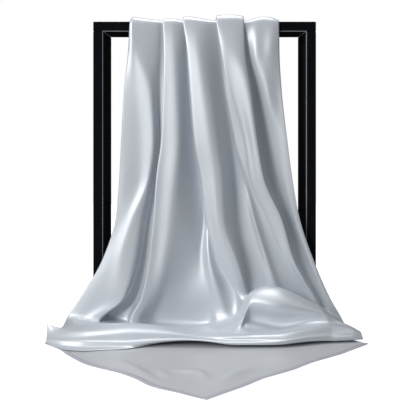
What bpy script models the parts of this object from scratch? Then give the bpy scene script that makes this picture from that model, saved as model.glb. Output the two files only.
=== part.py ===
"""A square satin scarf draped over a black box-frame display stand.

Units are metres, +Z is up. The origin is the centre of the stand's underside. The viewer
stands on the -Y side. The scarf is gathered over the stand's top board, hangs down in front
in pleats that sweep to the right, folds over on the floor, and ends in a flat corner that
points at the viewer. Its opposite corner hangs behind the board.
"""

import functools
import math

import bmesh
import bpy
import numpy as np

# Stand
STAND_WIDTH = 0.360
STAND_HEIGHT = 0.490
STAND_DEPTH = 0.120
BOARD = 0.016
BOARD_EASE = 0.0008
JOINT_GAP = 0.0003

# Scarf
CLOTH = 0.0016
SEAM_GAP = 0.0006
BOARD_LEVEL = 0.006
SPREAD_LEAN = 0.015
LEAN_POWER = 1.4
BACK_DROP = 0.198
BACK_EDGE_DROP = 0.014
BACK_FLARE = 1.35

# Floor layers
HEM_WIDTH = 0.0055
HEM_RISE = 0.0005
FOLD_LIFT = 0.0003
FOLD_BASE = CLOTH + HEM_RISE + FOLD_LIFT
CREASE_DEPTH = 0.023
HIDDEN_DIP = 0.002
NOTCH_DEPTH = 0.0045
NOTCH_SHARE = 0.25

MM = 0.001
SHARP_EDGE = math.radians(50)

# Heights above the floor, in millimetres, at which the table of folds gives its places.
FALL_LEVELS = (490, 400, 270, 140, 60, 20)
DEPTH_LEVELS = (490, 270, 140, 50, 20)

# One row for each edge, ridge or valley of the front fall, from left to right. The six x
# columns are its place across at each of FALL_LEVELS. The five out columns are how far it
# stands out from the falling line at each of DEPTH_LEVELS. All are in millimetres.
FALL_FOLDS = (
    # name, x bar, shoulder, waist, knee, foot, floor, out bar, waist, knee, foot, floor
    ("left_edge", -120, -125, -134, -145, -190, -212, 3.0, 3.0, 5.0, 10.0, 20.0),
    ("left_lobe", -108, -99, -90, -132, -140, -160, 9.0, 14.0, 14.0, 18.0, 26.0),
    ("left_valley", -69, -71, -78, -99, -119, -136, 1.3, 1.0, 2.0, 5.0, 8.0),
    ("narrow_pleat", -62, -65, -70, -78, -95, -117, 6.0, 12.0, 15.0, 14.0, 16.0),
    ("narrow_pleat_back", -52, -50, -56, -62, -72, -84, 5.0, 10.0, 12.0, 9.0, 10.0),
    ("centre_valley", -37, -30, -17, 2, 26, 34, 1.3, -1.0, 1.0, 5.0, 6.0),
    ("centre_pleat", -31, -22, -6, 25, 55, 60, 9.5, 17.0, 20.0, 20.0, 20.0),
    ("centre_pleat_back", -18, -5, 11, 42, 72, 78, 7.0, 14.0, 17.0, 18.0, 18.0),
    ("broad_valley", 10, 19, 36, 64, 92, 98, 3.0, 3.0, 3.0, 9.0, 9.0),
    ("short_ridge", 14, 26, 56, 86, 118, 124, 3.2, 6.0, 12.0, 14.0, 14.0),
    ("short_valley", 17, 30, 64, 102, 134, 140, 3.4, 3.0, 5.0, 8.0, 8.0),
    ("right_pleat", 23, 37, 72, 120, 152, 162, 9.0, 15.0, 18.0, 15.0, 15.0),
    ("right_pleat_crown", 42, 53, 80, 125, 160, 171, 12.0, 18.0, 21.0, 18.0, 18.0),
    ("right_pleat_edge", 60, 68, 87, 130, 167, 179, 10.0, 18.0, 21.0, 17.0, 17.0),
    ("right_valley", 68, 79, 99, 141, 176, 190, 1.3, -1.0, 3.0, 5.0, 8.0),
    ("right_lobe", 97, 102, 119, 152, 187, 203, 11.0, 13.0, 13.0, 12.0, 18.0),
    ("right_edge", 118, 121, 132, 160, 196, 213, 3.0, 4.0, 6.0, 6.0, 14.0),
)

# One row for each station across the fold on the floor, in millimetres. Each row gives the
# place of the back, the height of the crease against the fall, then the place and height of
# the crest, the hollow and the rim, and the place of the lip.
FLOOR_STATIONS = (
    # x, back y, crease z, crest y, crest z, hollow y, hollow z, rim y, rim z, lip y
    (-235, -112, 16, -128, 22, -140, 15, -150, 9, -158),
    (-222, -100, 20, -123, 25, -142, 17, -158, 11, -169),
    (-205, -80, 19, -122, 23, -148, 17, -168, 12, -186),
    (-165, -67, 15, -133, 22, -154, 20, -176, 14, -196),
    (-120, -67, 14, -138, 26, -157, 22, -177, 14, -194),
    (-60, -67, 12, -143, 20, -157, 18, -173, 13, -187),
    (0, -67, 12, -150, 15, -160, 13, -173, 13, -187),
    (30, -67, 18, -108, 19, -150, 12, -172, 14, -189),
    (50, -67, 34, -102, 34, -146, 13, -172, 15, -190),
    (70, -67, 46, -100, 51, -142, 16, -172, 16, -189),
    (98, -67, 48, -104, 65, -138, 24, -167, 19, -184),
    (130, -67, 38, -106, 62, -134, 32, -154, 26, -170),
    (155, -67, 29, -107, 50, -127, 37, -142, 31, -156),
    (180, -67, 20, -110, 32, -124, 25, -137, 21, -151),
    (208, -84, 15, -116, 20, -130, 17, -142, 14, -155),
    (236, -112, 10, -126, 14, -138, 12, -150, 9, -162),
)

# The outline of the flat corner and the layer under the fold, in millimetres. The hem runs
# from the left tip round the front corner to the right tip. The last four rows are hidden.
HEM_OUTLINE = (
    # name, x, y
    ("left_tip", -237, -160),
    ("left_hem_upper", -203, -203),
    ("left_hem_middle", -118, -284),
    ("left_hem_lower", -62, -342),
    ("front_corner", 2, -399),
    ("right_hem_lower", 58, -344),
    ("right_hem_middle", 128, -276),
    ("right_hem_upper", 197, -206),
    ("right_tip", 240, -166),
)
HIDDEN_OUTLINE = (
    # name, x, y
    ("right_back", 238, -110),
    ("right_end", 200, -66),
    ("left_end", -200, -66),
    ("left_back", -237, -110),
)

# The layered lip of the fold on the floor, from its rim down. Out is the share of the way
# from the rim to the lip, back the share of the notch between the layers, up the share of
# the rim's height.
LIP_OUTLINE = (
    # out, back, up
    (0.6, 0.0, 0.90),
    (1.0, 0.0, 0.68),
    (1.0, 1.0, 0.45),
    (1.0, 0.0, 0.30),
    (1.0, 0.5, 0.00),
)

COLUMNS_PER_FOLD = 4
FALL_ROWS = 15
BACK_ROWS = 8
TURN_STEPS = 4
TOP_STEPS = 5
FOOT_PASSES = 12
FLOOR_COLUMNS = 56
FOLD_STEPS = 3

BLACK = (0.006, 0.007, 0.009, 1.0)
SILVER = (0.44, 0.47, 0.53, 1.0)
SILVER_MATT = (0.48, 0.50, 0.52, 1.0)


def clear_scene():
    """Remove everything that a new file starts with."""
    for item in list(bpy.data.objects):
        bpy.data.objects.remove(item, do_unlink=True)


def make_material(name, colour, roughness, metallic):
    """Return a Principled material."""
    material = bpy.data.materials.new(name)
    material.use_nodes = True
    shader = material.node_tree.nodes["Principled BSDF"]
    shader.inputs["Base Color"].default_value = colour
    shader.inputs["Roughness"].default_value = roughness
    shader.inputs["Metallic"].default_value = metallic
    return material


def add_object(name, mesh, material):
    """Link a mesh as a named object with one material."""
    mesh.materials.append(material)
    item = bpy.data.objects.new(name, mesh)
    bpy.context.scene.collection.objects.link(item)
    return item


def smooth_curve(places, values, at):
    """Read a smooth curve through (places, values) that never overshoots them."""
    places = np.asarray(places, dtype=float)
    values = np.asarray(values, dtype=float)
    if places[0] > places[-1]:
        places = places[::-1]
        values = values[::-1]
    spans = np.diff(places)
    rises = np.diff(values) / spans
    slopes = np.zeros(len(values))
    slopes[0] = rises[0]
    slopes[-1] = rises[-1]
    for index in range(1, len(values) - 1):
        before = rises[index - 1]
        after = rises[index]
        if before * after > 0.0:
            slopes[index] = 2.0 * before * after / (before + after)
    at = np.clip(np.asarray(at, dtype=float), places[0], places[-1])
    index = np.clip(np.searchsorted(places, at, side="right") - 1, 0, len(spans) - 1)
    span = spans[index]
    t = (at - places[index]) / span
    start = (1 + 2 * t) * (1 - t) ** 2 * values[index] + t * (1 - t) ** 2 * span * slopes[index]
    end = t * t * (3 - 2 * t) * values[index + 1] + t * t * (t - 1) * span * slopes[index + 1]
    return start + end


def fold_places(height):
    """Return every fold's x and its distance out, in metres, at a height above the floor."""
    count = len(FALL_LEVELS)
    xs = [smooth_curve(FALL_LEVELS, row[1:1 + count], height / MM) for row in FALL_FOLDS]
    outs = [smooth_curve(DEPTH_LEVELS, row[1 + count:], height / MM) for row in FALL_FOLDS]
    return np.array(xs) * MM, np.array(outs) * MM


def wave(knots_x, knots_out):
    """Join ridges and valleys into one smooth wave of (x, out) samples."""
    xs = []
    outs = []
    for index in range(len(knots_x) - 1):
        for step in range(COLUMNS_PER_FOLD):
            t = step / COLUMNS_PER_FOLD
            ease = 0.5 - 0.5 * math.cos(math.pi * t)
            xs.append(knots_x[index] + t * (knots_x[index + 1] - knots_x[index]))
            outs.append(knots_out[index] + ease * (knots_out[index + 1] - knots_out[index]))
    xs.append(knots_x[-1])
    outs.append(knots_out[-1])
    return np.array(xs), np.array(outs)


@functools.lru_cache(maxsize=None)
def wave_at(height):
    """Return the wave of the front fall at a height, kept for the next call."""
    return wave(*fold_places(height))


def fold_height(x, y):
    """Return how high the fold on the floor stands at (x, y)."""
    profile = floor_profile(x)
    ys = [point[0] for point in profile]
    zs = [point[1] for point in profile]
    return float(smooth_curve(ys, zs, y))


def floor_row(x):
    """Return the station values at x, in metres."""
    places = [row[0] for row in FLOOR_STATIONS]
    columns = zip(*[row[1:] for row in FLOOR_STATIONS])
    return [float(smooth_curve(places, column, x / MM)) * MM for column in columns]


def floor_profile(x):
    """Return the top of the fold from its back to its rim as (y, z) knots."""
    back_y, crease_z, crest_y, crest_z, hollow_y, hollow_z, rim_y, rim_z, _ = floor_row(x)
    crease_y = max(back_y - CREASE_DEPTH, (back_y + crest_y) / 2)
    return [
        (back_y, crease_z - HIDDEN_DIP),
        (crease_y, crease_z),
        (crest_y, crest_z),
        (hollow_y, hollow_z),
        (rim_y, rim_z),
    ]


def falling_line(height):
    """Return the y of the line that the front folds stand out from."""
    drop = (STAND_HEIGHT - height) / STAND_HEIGHT
    return -STAND_DEPTH / 2 - SPREAD_LEAN * max(drop, 0.0) ** LEAN_POWER


def front_fall_foot(top):
    """Return the height at which each column of the front fall meets the fold below it."""
    feet = [FALL_LEVELS[-2] * MM] * (COLUMNS_PER_FOLD * (len(FALL_FOLDS) - 1) + 1)
    for _ in range(FOOT_PASSES):
        for column, height in enumerate(feet):
            xs, outs = wave_at(height)
            y = falling_line(height) - outs[column]
            below = max(fold_height(xs[column], y + step * CLOTH) for step in (-1, 0, 1))
            feet[column] = min((height + below + CLOTH / 2 + SEAM_GAP) / 2, top)
    return feet


def front_fall_grid():
    """Return the middle of the front fall's cloth, row by row from the board to the floor."""
    top = STAND_HEIGHT - BOARD_LEVEL - SEAM_GAP
    feet = front_fall_foot(top)
    rows = []
    for index in range(FALL_ROWS):
        share = index / (FALL_ROWS - 1)
        row = []
        for column, end in enumerate(feet):
            height = top + share * (end - top)
            xs, outs = wave_at(height)
            row.append((xs[column], falling_line(height) - outs[column], height))
        rows.append(row)
    return np.array(rows)


def over_board_grid():
    """Return the middle of the cloth that lies over the top board, from front to back."""
    xs, outs = wave(*fold_places(STAND_HEIGHT))
    front = -STAND_DEPTH / 2
    back = STAND_DEPTH / 2
    rows = []
    frames = [(front, STAND_HEIGHT - BOARD_LEVEL, math.pi)]
    for step in range(TURN_STEPS + 1):
        frames.append((front, STAND_HEIGHT, math.pi - step / TURN_STEPS * math.pi / 2))
    for step in range(1, TOP_STEPS):
        frames.append((front + step / TOP_STEPS * (back - front), STAND_HEIGHT, math.pi / 2))
    for step in range(TURN_STEPS + 1):
        frames.append((back, STAND_HEIGHT, math.pi / 2 - step / TURN_STEPS * math.pi / 2))
    frames.append((back, STAND_HEIGHT - BOARD_LEVEL, 0.0))
    for y, z, angle in frames:
        rows.append([
            (x, y + math.cos(angle) * out, z + math.sin(angle) * out)
            for x, out in zip(xs, outs)
        ])
    return np.array(rows)


def back_fall_grid():
    """Return the middle of the back corner's cloth, from the board down to its hem."""
    xs, outs = wave(*fold_places(STAND_HEIGHT))
    half = max(abs(xs[0]), abs(xs[-1]))
    top = STAND_HEIGHT - BOARD_LEVEL - SEAM_GAP
    rows = []
    for index in range(BACK_ROWS):
        share = index / (BACK_ROWS - 1)
        row = []
        for x, out in zip(xs, outs):
            reach = BACK_EDGE_DROP + (BACK_DROP - BACK_EDGE_DROP) * (1.0 - abs(x) / half)
            fall = share * (reach - BOARD_LEVEL)
            flare = 1.0 + (BACK_FLARE - 1.0) * fall / BACK_DROP
            row.append((x, STAND_DEPTH / 2 + out * flare, top - fall))
        rows.append(row)
    return np.array(rows)


def unit_normals(grid):
    """Return the unit normals of a grid of points."""
    along = np.gradient(grid, axis=0)
    across = np.gradient(grid, axis=1)
    normals = np.cross(across, along)
    lengths = np.linalg.norm(normals, axis=2, keepdims=True)
    return normals / np.maximum(lengths, 1e-12)


def make_wall(name, grid, material):
    """Give a grid of points the cloth's thickness and make it a closed solid."""
    normals = unit_normals(grid)
    rows, columns = grid.shape[:2]
    layers = [grid + normals * CLOTH / 2, grid - normals * CLOTH / 2]
    points = np.concatenate([layer.reshape(-1, 3) for layer in layers])
    half = rows * columns

    def at(layer, row, column):
        return layer * half + row * columns + column

    faces = []
    for row in range(rows - 1):
        for column in range(columns - 1):
            corners = ((row, column), (row, column + 1), (row + 1, column + 1), (row + 1, column))
            faces.append([at(0, *corner) for corner in corners])
            faces.append([at(1, *corner) for corner in reversed(corners)])
    rim = [(0, column) for column in range(columns)]
    rim += [(row, columns - 1) for row in range(1, rows)]
    rim += [(rows - 1, column) for column in range(columns - 2, -1, -1)]
    rim += [(row, 0) for row in range(rows - 2, 0, -1)]
    for here, there in zip(rim, rim[1:] + rim[:1]):
        faces.append([at(0, *there), at(0, *here), at(1, *here), at(1, *there)])
    return finish_mesh(name, points.tolist(), faces, material)


def finish_mesh(name, points, faces, material):
    """Make a mesh with its faces pointing out, shaded smooth, and link it."""
    mesh = bpy.data.meshes.new(name)
    mesh.from_pydata(points, [], faces)
    form = bmesh.new()
    form.from_mesh(mesh)
    bmesh.ops.recalc_face_normals(form, faces=form.faces)
    bmesh.ops.triangulate(form, faces=form.faces)
    form.to_mesh(mesh)
    form.free()
    mesh.shade_smooth()
    mesh.set_sharp_from_angle(angle=SHARP_EDGE)
    return add_object(name, mesh, material)


def floor_loop(x):
    """Return the closed outline, seen from the side, of the fold on the floor at x."""
    lip_y = floor_row(x)[-1]
    knots = floor_profile(x)
    ys = [knot[0] for knot in knots]
    zs = [knot[1] for knot in knots]
    base = FOLD_BASE
    loop = [(ys[0], base)]
    for start, end in zip(ys[:-1], ys[1:]):
        for step in range(FOLD_STEPS):
            y = start + step / FOLD_STEPS * (end - start)
            loop.append((y, float(smooth_curve(ys, zs, y))))
    rim_y, rim_z = knots[-1]
    notch = min(NOTCH_DEPTH, NOTCH_SHARE * (rim_y - lip_y))
    tall = rim_z - base
    loop.append((rim_y, rim_z))
    for out, back, up in LIP_OUTLINE:
        loop.append((rim_y + out * (lip_y - rim_y) + back * notch, base + up * tall))
    return loop


def make_floor_fold(material):
    """Make the fold on the floor as one solid with a flat underside."""
    first = FLOOR_STATIONS[0][0] * MM
    last = FLOOR_STATIONS[-1][0] * MM
    points = []
    for column in range(FLOOR_COLUMNS + 1):
        x = first + column / FLOOR_COLUMNS * (last - first)
        points += [(x, y, z) for y, z in floor_loop(x)]
    size = len(points) // (FLOOR_COLUMNS + 1)
    faces = []
    for column in range(FLOOR_COLUMNS):
        for index in range(size):
            after = (index + 1) % size
            here = column * size
            there = here + size
            faces.append([here + index, here + after, there + after, there + index])
    faces.append(list(range(size)))
    faces.append([FLOOR_COLUMNS * size + index for index in reversed(range(size))])
    return finish_mesh("scarf_floor_fold", points, faces, material)


def make_flat_corner(material):
    """Make the flat front corner, with its turned hem, and the layer under the fold."""
    hem = [(x * MM, y * MM) for _, x, y in HEM_OUTLINE]
    hidden = [(x * MM, y * MM) for _, x, y in HIDDEN_OUTLINE]
    step = HEM_WIDTH * math.sqrt(2.0)
    inner = [(x, y + step) for x, y in hem]
    inner[0] = move_towards(hem[0], hidden[-1], step)
    inner[-1] = move_towards(hem[-1], hidden[0], step)
    high = CLOTH + HEM_RISE
    count = len(hem)
    points = [(x, y, 0.0) for x, y in hem + hidden]
    points += [(x, y, high) for x, y in hem]
    points += [(x, y, high) for x, y in inner]
    points += [(x, y, CLOTH) for x, y in inner]
    points += [(x, y, CLOTH) for x, y in hidden]
    total = count + len(hidden)
    edge = total
    ring = edge + count
    foot = ring + count
    back = foot + count
    faces = [list(range(total)), list(range(foot, back + len(hidden)))]
    for index in range(count - 1):
        faces.append([index, index + 1, edge + index + 1, edge + index])
        faces.append([edge + index, edge + index + 1, ring + index + 1, ring + index])
        faces.append([ring + index, ring + index + 1, foot + index + 1, foot + index])
    last = count - 1
    faces.append([last, count, back, foot + last, ring + last, edge + last])
    for index in range(len(hidden) - 1):
        faces.append([count + index, count + index + 1, back + index + 1, back + index])
    end = len(hidden) - 1
    faces.append([count + end, 0, edge, ring, foot, back + end])
    return finish_mesh("scarf_flat_corner", points, faces, material)


def move_towards(start, end, distance):
    """Return the point at a distance from start on the way to end."""
    share = distance / math.dist(start, end)
    return tuple(a + share * (b - a) for a, b in zip(start, end))


def make_board(name, low, high, material):
    """Make one board of the stand between two corners, its edges eased."""
    mesh = bpy.data.meshes.new(name)
    form = bmesh.new()
    bmesh.ops.create_cube(form, size=1.0)
    size = [top - bottom for bottom, top in zip(low, high)]
    middle = [(top + bottom) / 2 for bottom, top in zip(low, high)]
    bmesh.ops.scale(form, vec=size, verts=form.verts)
    bmesh.ops.translate(form, vec=middle, verts=form.verts)
    bmesh.ops.bevel(form, geom=form.edges[:], offset=BOARD_EASE, segments=1, affect="EDGES")
    form.to_mesh(mesh)
    form.free()
    return add_object(name, mesh, material)


def make_stand(material):
    """Make the stand's top, bottom, left and right boards."""
    half = STAND_WIDTH / 2
    deep = STAND_DEPTH / 2
    low = BOARD + JOINT_GAP
    high = STAND_HEIGHT - BOARD - JOINT_GAP
    make_board("stand_bottom_board", (-half, -deep, 0.0), (half, deep, BOARD), material)
    make_board("stand_top_board", (-half, -deep, STAND_HEIGHT - BOARD),
               (half, deep, STAND_HEIGHT), material)
    make_board("stand_left_board", (-half, -deep, low), (-half + BOARD, deep, high), material)
    make_board("stand_right_board", (half - BOARD, -deep, low), (half, deep, high), material)


def make_scarf(satin, satin_back):
    """Make each stretch of the scarf that shows."""
    make_wall("scarf_over_board", over_board_grid(), satin)
    make_wall("scarf_back_fall", back_fall_grid(), satin)
    make_wall("scarf_front_fall", front_fall_grid(), satin)
    make_floor_fold(satin)
    make_flat_corner(satin_back)


def main():
    """Model the stand and the scarf."""
    clear_scene()
    make_stand(make_material("black_lacquer", BLACK, 0.35, 0.0))
    make_scarf(
        make_material("silver_satin", SILVER, 0.30, 0.35),
        make_material("silver_satin_back", SILVER_MATT, 0.60, 0.0),
    )


main()
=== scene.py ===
"""The looks of a square satin scarf draped over a black box-frame display stand.

Everything is in metres, in the frame's own axes: +Z up, the viewer on the -Y side, the
origin at the centre of the stand's underside. The stand's boards stay the frame's own and
get a lacquer. The cloth's rigid stretches are replaced by thin satin sheets whose folds are
placed in the tables below.
"""

import logging
import math
from collections.abc import Sequence
from dataclasses import dataclass, field
from enum import Enum

import bpy
import numpy as np
from mathutils import Euler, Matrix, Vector


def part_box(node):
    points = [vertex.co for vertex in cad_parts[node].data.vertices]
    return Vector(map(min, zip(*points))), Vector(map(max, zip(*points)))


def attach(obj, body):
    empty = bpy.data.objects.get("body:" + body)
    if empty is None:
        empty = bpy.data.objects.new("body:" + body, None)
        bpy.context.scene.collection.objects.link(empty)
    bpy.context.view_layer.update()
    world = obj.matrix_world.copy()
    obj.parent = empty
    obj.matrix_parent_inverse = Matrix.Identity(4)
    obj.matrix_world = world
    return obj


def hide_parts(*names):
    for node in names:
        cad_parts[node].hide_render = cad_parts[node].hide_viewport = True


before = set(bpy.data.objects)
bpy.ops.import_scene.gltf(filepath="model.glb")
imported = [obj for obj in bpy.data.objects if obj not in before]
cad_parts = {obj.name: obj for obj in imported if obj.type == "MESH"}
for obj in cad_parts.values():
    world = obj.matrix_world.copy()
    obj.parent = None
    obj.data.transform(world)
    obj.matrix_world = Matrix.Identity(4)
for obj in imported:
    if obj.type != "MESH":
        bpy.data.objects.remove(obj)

logging.basicConfig(level=logging.INFO, format="%(message)s")
log = logging.getLogger("scarf")

MM = 0.001
ROOT = "root"
PHOTO_WIDTH_PX = 416
# The camera's sensor is this wide, in millimetres.
SENSOR = 36.0

# The tables below are read once, closely spaced: those of the fall at every WAVE_STEP metres
# of height, and those of the floor at every STATION_STEP millimetres across.
WAVE_STEP = 0.002
STATION_STEP = 1.0

# How many rows go from each point of the floor fold's outline to the next.
FLOOR_STEPS = (8, 8, 4, 5, 8, 8, 5, 5, 4, 3, 3, 2)

# The last three points of that outline, from where it turns under to the floor: how much of
# the gap each is back, and how much of the height is left.
UNDER_TURN = ((0.22, 0.75), (0.55, 0.3), (1.0, 0.0))

# Neighbouring fold lines count as this much further apart than they are, in millimetres, so
# that each keeps columns of its own.
LEAST_CHORD = 0.2

# A place past the last row of a closely spaced table is read this many rows from its end.
LAST_ROW = 1.001

# The billow's top is this far in front of the fall's foot, at least, in metres.
LEAST_BILLOW = 0.003

# The fall's feet are found from this first height, in metres, in so many laps.
FIRST_FOOT = 0.04
FOOT_LAPS = 18

# How often the drape's creases are softened: both ways all over, then from row to row where
# the middle pleats meet the floor, and then across on the floor.
SOFT_LAPS = 2
CREASE_LAPS = 60
CREASE_ROWS = (-15, 11)
CREASE_RISE = (0.008, 0.022)
CREASE_END = (0.060, 0.072)
FLOOR_LAPS = 14

# The heights up the fall that every fold's row of numbers is for, in millimetres.
FALL_LEVELS = (490, 442, 379, 300, 238, 175, 112, 48, 17)


@dataclass(frozen=True)
class Fold:
    """One line down the cloth: an edge, a ridge or a valley.

    Attributes:
        name: What the line is.
        across: Its x at each of FALL_LEVELS, in millimetres.
        out: How far it stands out at each of FALL_LEVELS, in millimetres.
        hump: How high it stands on top of the board, in millimetres.
    """

    name: str
    across: tuple[float, ...]
    out: tuple[float, ...]
    hump: float


@dataclass(frozen=True)
class FloorStation:
    """The fold on the floor, cut from back to front at one place across, in millimetres.

    Attributes:
        x: The place across.
        foot: The height where the fall lands.
        billow: The (y, z) of the top of what lies behind the roll.
        edge: The (y, z) where that turns down.
        tuck: How far the cloth tucks back under that edge.
        hollow: The (y, z) of the hollow behind the roll.
        crest: The (y, z) of the roll's crest.
        upper: The (y, z) of the roll's upper nose.
        dip: The (y, z) between its two noses.
        lower: The (y, z) of its lower nose.
        under: The (y, z) where it turns under.
        gap: How far behind that turn its underside comes down, or before it if under 0.
    """

    x: float
    foot: float
    billow: tuple[float, float]
    edge: tuple[float, float]
    tuck: float
    hollow: tuple[float, float]
    crest: tuple[float, float]
    upper: tuple[float, float]
    dip: tuple[float, float]
    lower: tuple[float, float]
    under: tuple[float, float]
    gap: float

    def row(self) -> list[float]:
        """Put all its values in one row.

        Returns:
            The foot, the tuck and the gap, then the pairs from the back to the front.
        """
        pairs = (self.billow, self.edge, self.hollow, self.crest, self.upper, self.dip,
                 self.lower, self.under)
        return [self.foot, self.tuck, self.gap] + [value for pair in pairs for value in pair]


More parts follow.
